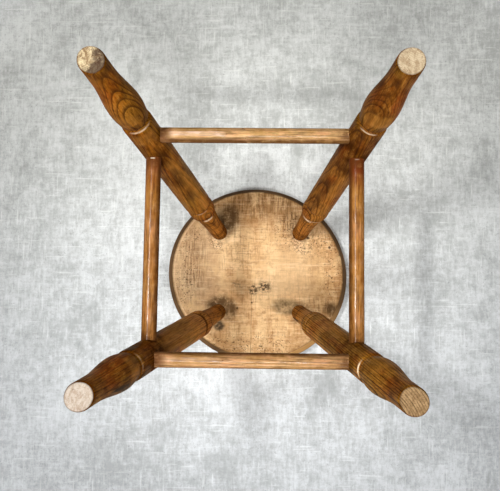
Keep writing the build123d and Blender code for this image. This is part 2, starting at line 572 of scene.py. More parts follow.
def lathe_tree():
    given = new_group("GeometryNodeTree", "lathe", {
        "Template": "Object", "Around": 96, "Along": 400, "Foot": (0, 0, 0), "Lean": (0, 0, 0),
        "Short way": 1.0, "Long way turn": 0.0, "Floor": -10.0, "Ceiling": 10.0,
        "Foot rounding": 0.0, "Foot rounding height": 0.003, "Wander": 0.0, "Wander length": 0.03,
        "Seed": 0.0, "Rubbed side": (1, 0, 0), "Rubbed depth": 0.0, "Piece length": 1.0,
        "Cutters": "Object", "Material": "Material",
    }, ["Geometry"], "Geometry")

    # the flat grid: X goes round the piece, Y along the template
    columns = given["Around"] + 1.0
    sizes = {"Size X": 1.0, "Size Y": 1.0, "Vertices X": columns, "Vertices Y": given["Along"]}
    grid = add("GeometryNodeMeshGrid", sizes)["Mesh"]
    flat = axes_of(add("GeometryNodeInputPosition")[0])
    angle = flat["X"] * math.tau
    line = add("GeometryNodeObjectInfo", {"Object": given["Template"]})["Geometry"]
    wanted = {"Curves": line, "Factor": flat["Y"] + 0.5, "Value": add("GeometryNodeInputRadius")[0]}
    sample = add("GeometryNodeSampleCurve", wanted, mode="FACTOR", data_type="FLOAT")
    spot = axes_of(sample["Position"])
    radius, station, may_wander = spot["X"], spot["Z"], sample["Value"]

    # out of round: wood shrinks more across its rings than along them
    x = radius * calc("COSINE", angle)
    y = radius * calc("SINE", angle) * given["Short way"]
    turned_oval = {"Vector": vector_of(X=x, Y=y), "Angle": given["Long way turn"]}
    oval = add("ShaderNodeVectorRotate", turned_oval, rotation_type="Z_AXIS")[0]

    # slide what lies past the floor or the seat back along the piece
    lean = add("FunctionNodeEulerToRotation", {0: given["Lean"]})[0]

    def leaned(vector):
        return add("FunctionNodeRotateVector", {"Vector": vector, "Rotation": lean})[0]

    def height_of(point):
        return axes_of(vcalc("ADD", leaned(point), given["Foot"]))["Z"]

    height = height_of(vcalc("ADD", oval, vector_of(Z=station)))
    kept = least(most(height, given["Floor"]), given["Ceiling"])
    rise = most(axes_of(leaned((0, 0, 1)))["Z"], 0.05)
    slid = station + (kept - height) / rise

    # the worn foot: the nearer the floor, the smaller the section
    near = (kept - given["Floor"]) / given["Foot rounding height"]
    near = calc("POWER", 1.0 - least(near, 1.0), 2.0)
    section = scaled(oval, 1.0 - near * given["Foot rounding"])

    # the wander of hand work, and the side that shoes have rubbed
    out = vcalc("NORMALIZE", section)
    place = vcalc("ADD", section, vector_of(Z=slid, X=given["Seed"]))
    rough = noise(place, 1.0 / given["Wander length"], 2.0, 0.45)
    allowed = may_wander * least(radius / core_radius, 1.0) * given["Wander"]
    facing = most(vcalc("DOT_PRODUCT", out, given["Rubbed side"]), 0.0)
    middle = station / given["Piece length"]
    middle = middle * (1.0 - middle) * 4.0
    rub = calc("POWER", facing, 3.0) * (middle * given["Rubbed depth"])
    push = (rough - 0.5) * (allowed * 2.0) - rub * may_wander
    worn = vcalc("ADD", vcalc("ADD", section, scaled(out, push)), vector_of(Z=slid))
    back = (kept - height_of(worn)) / rise * calc("GREATER_THAN", rise, 0.5)
    shaped = vcalc("ADD", worn, vector_of(Z=back))

    # close the skin, stand it on its foot and bore it
    skin = add("GeometryNodeSetPosition", {"Geometry": grid, "Position": shaped})[0]
    skin = add("GeometryNodeMergeByDistance", {"Geometry": skin, "Distance": 2e-6})[0]
    skin = add("GeometryNodeTransform", {"Geometry": skin, "Translation": given["Foot"], "Rotation": lean})[0]
    cutters = add("GeometryNodeObjectInfo", {"Object": given["Cutters"]})["Geometry"]
    meshes = {"Mesh 1": skin, "Mesh 2": cutters}
    bored = add("GeometryNodeMeshBoolean", meshes, operation="DIFFERENCE", solver="MANIFOLD")["Mesh"]
    smooth = add("GeometryNodeSetShadeSmooth", {"Geometry": bored, "Shade Smooth": True})[0]
    soft = calc("LESS_THAN", add("GeometryNodeInputMeshEdgeAngle")["Unsigned Angle"], crease)
    smooth = add("GeometryNodeSetShadeSmooth", {"Geometry": smooth, "Shade Smooth": soft}, domain="EDGE")[0]
    real = add("GeometryNodeRealizeInstances", {"Geometry": smooth})[0]
    return end_group(add("GeometryNodeSetMaterial", {"Geometry": real, "Material": given["Material"]})[0])


lathe = lathe_tree()
print("lathe tree:", len(lathe.nodes), "nodes")

# %% [markdown]
# ## Cutters
# A joint is cut with the shape of what goes into it: a drill for each rail's mortise, a tapered
# kerf for the wedge in a leg's tenon, and a drill for each leg in the seat. They are plain closed
# meshes that are thrown away after the cut. Boxes and cylinders could be added by hand, but then
# they wouldn't follow the stance.

# %% Cutters, in mm
stretcher_radius = 10.3
glue_line = 0.05
mortise_past_axis = 5.0
mortise_reach = 60.0        # how far a mortise's drill runs out of the leg
wedge_thickness = 3.4
wedge_tip = 0.8
wedge_depth = 19.0
kerf_overrun = 15.0
kerf_side = 6.0             # how far the kerf runs past the tenon on each side


def drill(work, place, radius, start, end):
    """Adds a cylinder to the bmesh, from start to end along the frame's Z."""
    middle = Matrix.Translation((0, 0, (start + end) / 2 * mm))
    bmesh.ops.create_cone(
        work, cap_ends=True, segments=64, radius1=radius * mm, radius2=radius * mm,
        depth=(end - start) * mm, matrix=place @ middle,
    )


def kerf(work, place, top):
    """Adds the wedge's tapered slot, wide enough to cross the tenon."""
    slope = (wedge_thickness - wedge_tip) / wedge_depth
    wide = wedge_thickness + slope * kerf_overrun
    half = tenon_radius + kerf_side
    corners = []
    for s, t in ((top - wedge_depth, wedge_tip), (top + kerf_overrun, wide)):
        corners += [(-half, -t / 2, s), (half, -t / 2, s), (half, t / 2, s), (-half, t / 2, s)]
    verts = [work.verts.new(place @ (Vector(c) * mm)) for c in corners]
    for ring in ((3, 2, 1, 0), (4, 5, 6, 7), (0, 1, 5, 4), (1, 2, 6, 5), (2, 3, 7, 6), (3, 0, 4, 7)):
        work.faces.new([verts[i] for i in ring])


def cutter(name, build):
    work = bmesh.new()
    build(work)
    mesh = bpy.data.meshes.new(name)
    work.to_mesh(mesh)
    work.free()
    made = bpy.data.objects.new(name, mesh)
    scene.collection.objects.link(made)
    return made


def leg_cutter(leg):
    def build(work):
        kerf(work, leg_frames[leg], leg_lengths[leg] / mm)
        bore = stretcher_radius + glue_line
        for rail, (first, second, _) in rail_runs.items():
            length = rail_length(rail) / mm
            if leg == first:
                drill(work, rail_frame(rail), bore, -mortise_past_axis, mortise_reach)
            if leg == second:
                drill(work, rail_frame(rail), bore, length - mortise_reach, length + mortise_past_axis)
    return cutter("cutter " + leg, build)


def seat_cutter():
    def build(work):
        for leg in leg_sides:
            start = seat_underside / leg_run(leg).z / mm
            end = leg_lengths[leg] / mm
            drill(work, leg_frames[leg], tenon_radius + glue_line, start - overrun, end + overrun)
    return cutter("cutter seat", build)


leg_cutters = {leg: leg_cutter(leg) for leg in leg_sides}
print("leg cutters:", {name: len(c.data.polygons) for name, c in leg_cutters.items()})

# %% [markdown]
# ## What wood looks like
# Wood is a stack of rings round a pith. A board or a leg is a cut through that stack, and the same
# rings give stripes, arches or ovals depending on how the cut lies to them. So the rings are made in
# space, as cylinders round a pith line that each piece places for itself, and never drawn on the
# surface. An image would be quicker, but it would stretch on a turned shape and wouldn't meet the
# end grain.


# %% Group: growth rings and pores
def growth_group():
    given = new_group("ShaderNodeTree", "growth rings", {
        "Vector": (0, 0, 0), "Ring width": 0.004, "Waviness": 0.004, "Wave length": 0.06, "Late share": 0.5,
    }, ["Late wood", "Pores", "Fibre"])
    place = given["Vector"]
    swirl = noise(place, 1 / given["Wave length"], 2, 0.45, by=(1, 1, 0.3), out="Color")
    swirl = scaled(vcalc("SUBTRACT", swirl, (0.5, 0.5, 0.5)), given["Waviness"] * 2)
    moved = vcalc("ADD", place, swirl)
    reach = off_axis(moved)
    along_reach = {"W": reach, "Scale": 70, "Detail": 1}
    uneven = add("ShaderNodeTexNoise", along_reach, noise_dimensions="1D")[0]
    years = reach / given["Ring width"] + uneven * 1.6
    part = calc("FRACT", years)
    strength = add("ShaderNodeTexWhiteNoise", {"W": calc("FLOOR", years)}, noise_dimensions="1D")[0]
    late = ramp(part, 1 - given["Late share"], 0.9) * ramp(part, 0.93, 1, 1, 0)
    late = late * ramp(strength, -0.4, 1, 0.25, 1)
    fine = noise(moved, 1500, 1, 0.5, by=(1, 1, 0.09))
    pores = ramp(fine, 0.6, 0.7) * ramp(part, 0.25, 0.55, 1, 0.25)
    return end_group(late, pores, noise(moved, 900, 2, 0.6, by=(1, 1, 0.05)))


growth = growth_group()
print("growth rings:", len(growth.nodes), "nodes")

# %% [markdown]
# Handling leaves three more things on every piece, whatever its wood: cloudy differences in the
# finish, small dark nicks and scratches, and rubbed places where the colour has thinned. They are
# one group, so that the whole stool has aged together.


# %% Group: handling
def handling_group():
    given = new_group(
        "ShaderNodeTree", "handling", {"Vector": (0, 0, 0), "Cloud size": 0.03, "Nick amount": 0.5},
        ["Cloud", "Nicks", "Rubbed", "Grit"],
    )
    place = given["Vector"]
    cloud = ramp(noise(place, 1 / given["Cloud size"], 4, 0.6), 0.32, 0.68)
    pits = noise(place, 330, 3, 0.65, by=(1, 1, 0.45))
    limit = 0.78 - given["Nick amount"] * 0.14
    nicks = ramp(pits, limit, limit + 0.05) * ramp(noise(place, 45, 2, 0.5), 0.45, 0.6)
    rubbed = ramp(noise(vcalc("ADD", place, (3.1, 1.7, 0.4)), 38, 4, 0.7), 0.52, 0.72)
    return end_group(cloud, nicks, rubbed, noise(place, 1400, 2, 0.6))


handling = handling_group()
print("handling:", len(handling.nodes), "nodes")

# %% [markdown]
# ## Varnished legs
# The legs are an open-grained wood under old brown varnish. Each leg was cut from another part of a
# log, so each places its pith elsewhere: on one side the rings lie flat to the eye and the bulb
# shows ovals, on another they stand on edge and make stripes. The grooves are darker, dirt has stayed
# round the mortises, shade is painted under the collars and the seat, highlights are painted on the
# turned edges, and the feet are bare, sawn end grain.


# %% What every finish uses
def placed(offset, turn):
    """A frame at an offset in mm, turned by angles in radians."""
    return Matrix.Translation(Vector(offset) * mm) @ Euler(turn).to_matrix().to_4x4()


def seated(place, matrix):
    """Turns places in the stool into places in a piece's own frame."""
    inputs = {"Vector": place, "Location": matrix.to_translation(), "Rotation": matrix.to_euler()}
    return add("ShaderNodeMapping", inputs, vector_type="TEXTURE")[0]


def line_distance(place, matrix):
    """How far a place is from the Z axis of a frame."""
    return off_axis(seated(place, matrix))


def bearing(degrees):
    return (math.cos(math.radians(degrees)), math.sin(math.radians(degrees)), 0.0)


def with_fibre(colour, wood, amount, low, high):
    """Lightens and darkens a colour along the wood's fibres. low and high are greys, 0 to 255."""
    greys = mix(ramp(wood["Fibre"], 0.3, 0.7), (low,) * 3, (high,) * 3)
    return mix(amount, colour, greys, "OVERLAY")


def finish_surface(colour, roughness, height, depth, shine, varnish, varnish_roughness):
    """The wood itself, with a thin clear varnish over it."""
    bump = add("ShaderNodeBump", {"Height": height, "Distance": depth, "Strength": 1.0})[0]
    inputs = {
        "Base Color": colour, "Roughness": roughness, "Normal": bump, "Specular IOR Level": shine,
        "Coat Weight": varnish, "Coat Roughness": varnish_roughness,
    }
    add("ShaderNodeOutputMaterial", {"Surface": add("ShaderNodeBsdfPrincipled", inputs)[0]})


def marks(station, round_axis, places):
    """Patches on a turned piece: a station, half a length and how soft the ends are, all in mm, then
    an angle round the axis, half a width in degrees, and a strength."""
    found = []
    for at, half, soft, angle, half_angle, amount in places:
        facing = vcalc("DOT_PRODUCT", round_axis, bearing(angle))
        inner, outer = (math.cos(math.radians(a)) for a in (half_angle - 8, half_angle + 22))
        found.append(band_mm(station, at, half, soft) * ramp(facing, outer, inner, 0, amount))
    return most(*found)


# %% Finish of a leg
def sawn_foot(place, local, late_wood, shade, stain_side):
    """The bare end grain: saw marks, rings, pores, a stain that comes in from one side, and scuffs."""
    pale, blot, stain, line_depth, speckle = shade
    toward, stained_from, stained_to = stain_side
    rough_sawn = noise(place, 190, 5, 0.72, 0.6, by=(1, 0.6, 1))
    uneven = ramp(noise(place, 130, 3, 0.6), 0.3, 0.62, 0.35, 1)
    side = vcalc("DOT_PRODUCT", local, bearing(toward))
    side = side + ramp(noise(place, 75, 4, 0.65), 0.3, 0.7, -9 * mm, 9 * mm)
    return coats(
        mix(ramp(rough_sawn, 0.4, 0.62, 0, 0.9), pale, blot),
        (late_wood * line_depth * uneven, stain),
        (ramp(noise(place, 700, 2, 0.6), 0.52, 0.66, 0, 0.35), stain),
        (ramp_mm(side, stained_from, stained_to, 0, 0.85), stain),
        (ramp(noise(place, 330, 3, 0.7), 0.6, 0.7, 0, speckle), (84, 58, 34)),
        (ramp_mm(off_axis(local), 14.2, 15.8, 0, 0.45), (74, 50, 30)),
    )


def leg_finish(leg, pith_side, pith_away, pith_tilt, ring_width, waviness, late_share, ring_depth, shade,
               paler_end_and_light, neck_painted_light, neck_rings, joint_dirt, groove_darkness, painted_glints, lighter_and_lit, darker_and_shaded,
               foot_shade, foot_stain):
    """The pith lies on one side of the leg, at an angle round its axis in degrees, some way off in mm."""
    material, place = new_finish("varnished " + leg.replace("_", " "))
    local = seated(place, leg_frames[leg])
    station = axes_of(local)["Z"]
    round_axis = outward(local)
    pith = [c * pith_away for c in bearing(pith_side)]
    grain = seated(local, placed(pith, [math.radians(a) for a in pith_tilt]))
    bulb_wave, shaft_wave = waviness
    wave = ramp_mm(station, shaft_start, 230, bulb_wave * mm, shaft_wave * mm)
    wave = wave + ramp_mm(station, 425, 450, 0, 3.5 * mm)
    rings = {"Ring width": ring_width * mm, "Waviness": wave, "Late share": late_share}
    wood = use(growth, {"Vector": grain, **rings})
    aged = use(handling, {"Vector": grain, "Cloud size": 0.028, "Nick amount": 0.5})

    light, middle, dark = shade
    paler_amount, paler_tone = paler_end_and_light
    drift = noise(grain, 30, 2, 0.5, by=(1, 1, 0.5))
    mottle = noise(grain, 150, 4, 0.7, by=(1, 1, 0.3))
    streak = noise(grain, 420, 3, 0.65, by=(1, 1, 0.06))
    ragged = ramp(noise(grain, 130, 3, 0.6, by=(1, 1, 0.15)), 0.36, 0.58, 0.45, 1.3)
    tool_lines = noise(local, 300, 2, 0.55, 0.2, by=(0.1, 0.1, 1))
    tool_lines = ramp(tool_lines, 0.47, 0.6, 0, neck_rings) * ramp_mm(station, 429, 437)
    colour = coats(
        mix(aged["Cloud"], middle, light),
        # paler wood toward the seat, lifted further as painted light where shade falls under the seat
        (ramp_mm(station, 210, 350, 0, paler_amount), paler_tone),
        (ramp(drift, 0.5, 0.66, 0, 0.6), (164, 80, 22)),
        (ramp(drift, 0.34, 0.46, 0.5, 0), (138, 98, 28)),
        (ramp(mottle, 0.34, 0.48, 0.5, 0), mix(0.6, light, (206, 144, 62))),
        # painted light on the neck just past the collar
        (ramp_mm(station, 428, 442, 0, neck_painted_light), (190, 118, 40)),
        (ramp(mottle, 0.52, 0.68, 0, 0.5), dark),
        (wood["Late wood"] * ring_depth, dark),
        (wood["Pores"] * 0.55, (58, 32, 14)),
        (ramp(streak, 0.5, 0.66, 0, 0.5), dark),
        (tool_lines, dark),
        # figure in the wood, with painted light on the necks and painted shade at the collars' steps
        (marks(station, round_axis, lighter_and_lit) * ragged, (218, 150, 66)),
        (calc("MULTIPLY", marks(station, round_axis, darker_and_shaded), ragged, clamp=True), dark),
    )
    colour = with_fibre(colour, wood, 0.5, 104, 190)

    # darker in the grooves, dirt at the mortises and the foot, painted shade under the collar and at the seat
    low_groove_darkness, high_groove_darkness, high_half = groove_darkness
    grooves = most(
        band_mm(station, bulb_end + 2.4, 1.2, 2) * low_groove_darkness,
        band_mm(station, shaft_top + 2.5, high_half, 2.6) * high_groove_darkness,
        # the last two bands: painted shade below the collar's step, and a darker line on the collar
        band_mm(station, neck_start + 0.5, 1.2, 2.4) * 0.6, band_mm(station, collar_end - 5, 0.5, 1.6) * 0.45,
    )
    near = least(*[line_distance(place, rail_frame(r)) for r, ends in rail_runs.items() if leg in ends[:2]])
    joints = most(ramp_mm(near, stretcher_radius, 15, 0.9, 0), ramp_mm(near, 12, 34, joint_dirt, 0))
    # darker at the joints and round the foot, painted shade where the neck goes into the seat
    ends = most(joints, ramp_mm(station, 484, 500, 0, 0.6), ramp_mm(station, 0, 14, 0.5, 0))
    smear = ramp(noise(local, 60, 4, 0.65), 0.3, 0.62)
    dirt_and_shade = calc("MAXIMUM", most(grooves, ends * smear), aged["Nicks"] * 0.8, clamp=True)

    # painted highlights on the turning's edges: a length of a ring each
    painted_glint = marks(station, round_axis, painted_glints) * ramp(noise(local, 140, 3, 0.6), 0.38, 0.54, 0.35, 1)
    sole = ramp_mm(axes_of(place)["Z"], 0.15, 0.6, 1, 0)
    colour = coats(
        colour, (dirt_and_shade * 0.85, (54, 25, 4)), (painted_glint, (246, 222, 186)),
        (sole, sawn_foot(place, local, wood["Late wood"], foot_shade, foot_stain)),
    )
    roughness = ramp(aged["Cloud"], 0, 1, 0.58, 0.46) + dirt_and_shade * 0.25 - painted_glint * 0.15
    height = wood["Pores"] * -0.35 + wood["Late wood"] * 0.12 + wood["Fibre"] * 0.3 - aged["Nicks"]
    whole = ramp(streak, 0.4, 0.6, 1, 0.45) * ramp(aged["Cloud"], 0, 1, 0.6, 1)
    varnish = (1 - most(dirt_and_shade, sole)) * whole * 0.36
    height = height + aged["Grit"] * sole * 1.2
    finish_surface(colour, most(roughness, sole * 0.85), height, 0.25 * mm, 0.01, varnish, 0.22)
    return material


# %% [markdown]
# Now the four legs. A mark's angle is measured round its leg, and the side that the camera sees is at
# about 55 degrees on the front left leg, 120 on the front right, -33 on the back left and -142 on the
# back right.

# %% Looks of the four legs
# a leg's glints are painted highlights on its turned edges
bark = (56, 26, 6)
leg_looks = {
    "leg_front_left": dict(
        pith_side=235, pith_away=46, pith_tilt=(1.6, -1.6, 0), ring_width=2.2, waviness=(4.5, 2.2),
        late_share=0.6, ring_depth=0.85, shade=((188, 117, 34), (142, 80, 15), bark),
        paler_end_and_light=(0.3, (180, 116, 44)), neck_painted_light=1, neck_rings=0.42, joint_dirt=0.7,
        groove_darkness=(0.9, 0.35, 1.6),
        painted_glints=[(145, 0.5, 0.8, 60, 34, 0.4), (434, 1.6, 2, 62, 10, 0.95), (404.5, 0.4, 1.2, 68, 10, 0.28)],
        lighter_and_lit=[(165, 8, 8, 70, 35, 0.22), (118, 8, 10, 85, 25, 0.2), (350, 40, 20, 88, 24, 0.18),
                 (332, 16, 12, 25, 14, 0.26), (410, 6, 8, 62, 60, 0.2), (436, 3, 4, 62, 25, 0.2),
                 (262, 22, 14, 46, 8, 0.34), (320, 30, 14, 38, 8, 0.42), (376, 16, 12, 30, 8, 0.42)],
        darker_and_shaded=[(4, 12, 12, 20, 80, 0.45), (131, 4, 4, 50, 26, 0.5), (235, 18, 12, 70, 26, 0.3),
                (300, 40, 20, 64, 10, 0.55), (460, 16, 10, 117, 18, 0.35)],
        foot_shade=((228, 208, 168), (140, 108, 74), (66, 46, 38), 0.35, 0.7), foot_stain=(28, -4, 9),
    ),
    "leg_front_right": dict(
        pith_side=300, pith_away=40, pith_tilt=(0, 4, 0), ring_width=2.1, waviness=(3.6, 5),
        late_share=0.5, ring_depth=0.8, shade=((150, 91, 28), (104, 57, 10), bark),
        paler_end_and_light=(0.95, (188, 122, 50)), neck_painted_light=1, neck_rings=0.46, joint_dirt=0.85,
        groove_darkness=(0.9, 0.12, 1.6),
        painted_glints=[(144.8, 0.35, 0.7, 112, 22, 0.4), (433, 1.6, 2, 130, 14, 0.95),
                (425.5, 0.5, 0.7, 86, 20, 0.5)],
        lighter_and_lit=[(110, 9, 9, 100, 36, 0.34), (300, 26, 14, 80, 20, 0.2), (436, 4, 5, 75, 24, 0.25)],
        darker_and_shaded=[(72, 16, 14, 150, 18, 0.4), (235, 14, 14, 110, 36, 0.4), (350, 52, 22, 145, 22, 0.5),
                (152, 5, 6, 105, 28, 0.35)],
        foot_shade=((202, 184, 154), (164, 140, 110), (128, 98, 64), 0.4, 0.8), foot_stain=(130, 12, 26),
    ),
    "leg_back_left": dict(
        pith_side=30, pith_away=60, pith_tilt=(0.5, 1, 0), ring_width=3.2, waviness=(3, 3),
        late_share=0.5, ring_depth=0.6, shade=((158, 92, 20), (106, 56, 4), (46, 22, 2)),
        paler_end_and_light=(0.9, (208, 134, 54)), neck_painted_light=0.9, neck_rings=0.18, joint_dirt=0.95,
        groove_darkness=(0.95, 0.9, 3.4), painted_glints=[(145, 0.5, 0.8, -20, 30, 0.12)],
        lighter_and_lit=[(118, 10, 10, -26, 28, 0.34), (300, 60, 20, -45, 36, 0.36), (235, 12, 12, -45, 30, 0.3)],
        darker_and_shaded=[(78, 18, 14, 40, 18, 0.8), (118, 8, 10, 40, 10, 0.6), (157, 10, 8, -98, 26, 0.55),
                (157, 10, 8, 30, 20, 0.6), (456, 18, 10, -100, 16, 0.5), (425.6, 0.5, 1.6, -33, 90, 0.9)],
        foot_shade=((202, 190, 176), (176, 156, 138), (140, 114, 94), 0.2, 0.55), foot_stain=(190, 12, 26),
    ),
    "leg_back_right": dict(
        pith_side=148, pith_away=60, pith_tilt=(0, 0.5, 0), ring_width=3, waviness=(1.6, 1.6),
        late_share=0.55, ring_depth=1, shade=((192, 130, 44), (140, 86, 18), (60, 32, 4)),
        paler_end_and_light=(0.9, (194, 128, 48)), neck_painted_light=0.7, neck_rings=0.5, joint_dirt=0.8,
        groove_darkness=(0.8, 0.7, 2),
        painted_glints=[(145.2, 0.5, 0.8, -175, 20, 1), (408, 0.6, 1.4, -125, 36, 0.1),
                (418, 0.6, 1.4, -125, 36, 0.1)],
        lighter_and_lit=[(98, 16, 14, -106, 26, 0.26), (300, 36, 18, -104, 18, 0.15), (450, 16, 12, -150, 50, 0.18)],
        darker_and_shaded=[(6, 22, 16, -170, 40, 0.45), (285, 32, 18, -152, 24, 0.25), (425.6, 0.5, 1.6, -142, 90, 0.7),
                (200, 26, 16, -142, 90, 0.2)],
        foot_shade=((170, 140, 102), (130, 102, 70), (58, 40, 24), 1, 0.4), foot_stain=(300, 14, 34),
    ),
}
leg_finishes = {leg: leg_finish(leg, **look) for leg, look in leg_looks.items()}
print("leg finishes:", {m.name: len(m.node_tree.nodes) for m in leg_finishes.values()})

# %% [markdown]
# ## Turning the legs
# The tree's modifier sits on a scrap mesh and is filled in by the sockets' identifiers. The
# evaluated result is kept as a plain mesh, and the modifier goes away with the scrap.


# %% Turn a piece
leg_grid, rail_grid, seat_grid = (96, 640), (56, 260), (288, 260)   # faces round it, points along it


def turn(name, line, cutters, material, grid, sizes):
    """Turns a piece from its template line."""
    scrap = bpy.data.objects.new("scrap", bpy.data.meshes.new("scrap"))
    scene.collection.objects.link(scrap)
    modifier = scrap.modifiers.new("lathe", "NODES")
    modifier.node_group = lathe
    around, along = grid
    wanted = {"Template": line, "Cutters": cutters, "Material": material, **sizes}
    wanted.update({"Around": around, "Along": along})
    for item in lathe.interface.items_tree:
        if item.in_out == "INPUT" and item.name in wanted:
            modifier[item.identifier] = wanted.pop(item.name)
    if wanted:
        raise ValueError(f"the lathe has no input {sorted(wanted)}")
    graph = bpy.context.evaluated_depsgraph_get()
    graph.update()
    mesh = bpy.data.meshes.new_from_object(scrap.evaluated_get(graph), depsgraph=graph)
    mesh.name = name
    bpy.data.objects.remove(scrap)
    made = bpy.data.objects.new(name, mesh)
    scene.collection.objects.link(made)
    box = [end(v.co[i] for v in mesh.vertices) for end in (min, max) for i in range(3)]
    print(name, "faces", len(mesh.polygons), "box mm", [round(v / mm, 1) for v in box])
    return made


def stands_for(piece, node):
    """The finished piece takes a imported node's place and rides with the stool."""
    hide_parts(node)
    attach(piece, "root")


leg_seeds = {"leg_front_left": 3.0, "leg_front_right": 11.0, "leg_back_left": 23.0, "leg_back_right": 37.0}
for leg, seed in leg_seeds.items():
    piece = turn("turned_" + leg, leg_templates[leg], leg_cutters[leg], leg_finishes[leg], leg_grid, {
        "Foot": foot_point(leg), "Lean": leg_frames[leg].to_euler(),
        "Floor": 0.0, "Ceiling": seat_top_height - 0.005 * mm, "Foot rounding": 0.075,
        "Short way": 0.988, "Long way turn": 0.6,
        "Wander": 0.18 * mm, "Wander length": 26 * mm, "Seed": seed,
    })
    stands_for(piece, leg)

# %% [markdown]
# ## Rails
# The four rails are plain rods, worn a little thinner in the middle of their run, with the front
# one flattened on top by shoes. They are a lighter wood than the legs and their varnish has a long
# soft shine.

# %% Template and finish of a rail
rail_past_axis = mortise_past_axis - 1.5    # a rail stops short of its mortise's end, in mm
rail_chamfer = 1.2
rail_steps = 120
joint_reach = 26.0      # from a rail's end to where it has left the leg, and may wander
wander_rise = 30.0      # and how far on it wanders in full


def rail_template(rail):
    length = rail_length(rail, rail_past_axis * mm) / mm
    edge = stretcher_radius - rail_chamfer
    points = [(0.0, 0.0, 0.0), (edge, 0.0, 0.0)]
    for i in range(rail_steps + 1):
        s = rail_chamfer + (length - 2 * rail_chamfer) * i / rail_steps
        free = min(1.0, max(0.0, (min(s, length - s) - joint_reach) / wander_rise))
        points.append((stretcher_radius, s, free))
    points += [(edge, length, 0.0), (0.0, length, 0.0)]
    return template("template " + rail, points), length


def rail_finish(rail, pith, ring_width, shade, worn, inner, start, end_highlight_amount, pink_sheen_amount):
    material, place = new_finish("worn varnish " + rail.replace("_", " "))
    local = seated(place, rail_frame(rail))
    station = axes_of(local)["Z"]
    grain = seated(local, placed(pith, (0.012, 0.02, 0)))
    rings = {"Ring width": ring_width * mm, "Waviness": 0.0025, "Wave length": 0.09}
    wood = use(growth, {"Vector": grain, **rings})
    aged = use(handling, {"Vector": local, "Cloud size": 0.035, "Nick amount": 0.9})
    light, middle, dark = shade
    drift = noise(local, 34, 2, 0.5, by=(1, 1, 0.35))
    streak = noise(local, 420, 3, 0.65, by=(1, 1, 0.1))
    colour = coats(
        mix(aged["Cloud"], middle, light),
        (ramp(drift, 0.5, 0.64, 0, 0.55), mix(0.5, middle, (168, 124, 44))),
        (ramp(drift, 0.36, 0.46, 0.45, 0), mix(0.5, light, (224, 166, 128))),
        (wood["Late wood"] * 0.5, dark),
        (wood["Pores"] * 0.5, (104, 58, 24)),
        (aged["Rubbed"] * worn, (230, 192, 142)),
        (ramp(streak, 0.5, 0.64, 0, 0.55), dark),
    )
    colour = with_fibre(colour, wood, 0.45, 85, 170)

    # painted shade along both sides of the rod and on its inner side, and old dark varnish at the ends
    out = outward(local)
    up = vcalc("DOT_PRODUCT", out, (1, 0, 0))
    inner_side = vcalc("DOT_PRODUCT", out, (0, inner, 0))
    sides = most(ramp(calc("ABSOLUTE", up), 0.2, 0.5, 0.7, 0), ramp(inner_side, 0.35, 0.85, 0, 0.85))
    side_breakup = ramp(noise(local, 55, 4, 0.65), 0.3, 0.55, 0.5, 1)
    to_end = least(station, rail_length(rail) - station)
    close = ramp_mm(to_end, 19, 46, 0.85, 0) * ramp(noise(local, 70, 4, 0.65), 0.3, 0.6)
    dirt_and_shade = most(close, aged["Nicks"] * 0.9, sides * side_breakup)
    whole = ramp(noise(local, 160, 3, 0.6, by=(1, 1, 0.3)), 0.4, 0.58, 1, 0.35)
    start_length, start_amount = start
    first = ramp_mm(station, 0.55 * start_length, start_length, start_amount, 0)
    first = first * ramp(noise(local, 90, 4, 0.65), 0.32, 0.5, 0.5, 1)
    # painted highlights: a spark where a rail meets its leg, and a pink sheen on the underside near the start
    end_highlight = band_mm(station, 20.5, 0.3, 0.8) * ramp(up, -0.93, -0.995, 0, end_highlight_amount)
    pink_sheen = ramp(up, -0.93, -0.985, 0, pink_sheen_amount) * ramp_mm(station, 28, 36)
    pink_sheen = pink_sheen * ramp_mm(station, 92, 108, 1, 0)
    colour = coats(
        colour, (first, (108, 44, 10)), (dirt_and_shade, (84, 46, 16)), (end_highlight, (250, 236, 210)),
        (pink_sheen * whole, (244, 208, 184)),
    )
    roughness = ramp(aged["Cloud"], 0, 1, 0.52, 0.4) + dirt_and_shade * 0.25
    height = wood["Fibre"] * 0.3 - aged["Nicks"] - wood["Pores"] * 0.3
    finish_surface(colour, roughness, height, 0.2 * mm, 0.02, whole * (1 - dirt_and_shade) * 0.75, 0.22)
    return material


# %% The four rails
rail_looks = {
    "stretcher_front": dict(
        pith=(30, 40, 0), ring_width=3.2, shade=((226, 192, 132), (198, 153, 88), (116, 70, 26)),
        worn=0.6, inner=-1, start=(40, 0.4), end_highlight_amount=0, pink_sheen_amount=0.8,
    ),
    "stretcher_back": dict(
        pith=(-40, 30, 0), ring_width=3.8, shade=((218, 176, 120), (188, 138, 78), (110, 64, 24)),
        worn=0.4, inner=1, start=(34, 0.4), end_highlight_amount=0, pink_sheen_amount=0.25,
    ),
    "stretcher_left": dict(
        pith=(36, -30, 0), ring_width=3, shade=((202, 143, 75), (170, 107, 45), (98, 48, 14)),
        worn=0.3, inner=1, start=(58, 0.6), end_highlight_amount=0.6, pink_sheen_amount=0,
    ),
    "stretcher_right": dict(
        pith=(-32, -36, 0), ring_width=3.4, shade=((208, 149, 76), (172, 109, 46), (98, 48, 14)),
        worn=0.3, inner=-1, start=(62, 0.95), end_highlight_amount=0.15, pink_sheen_amount=0,
    ),
}
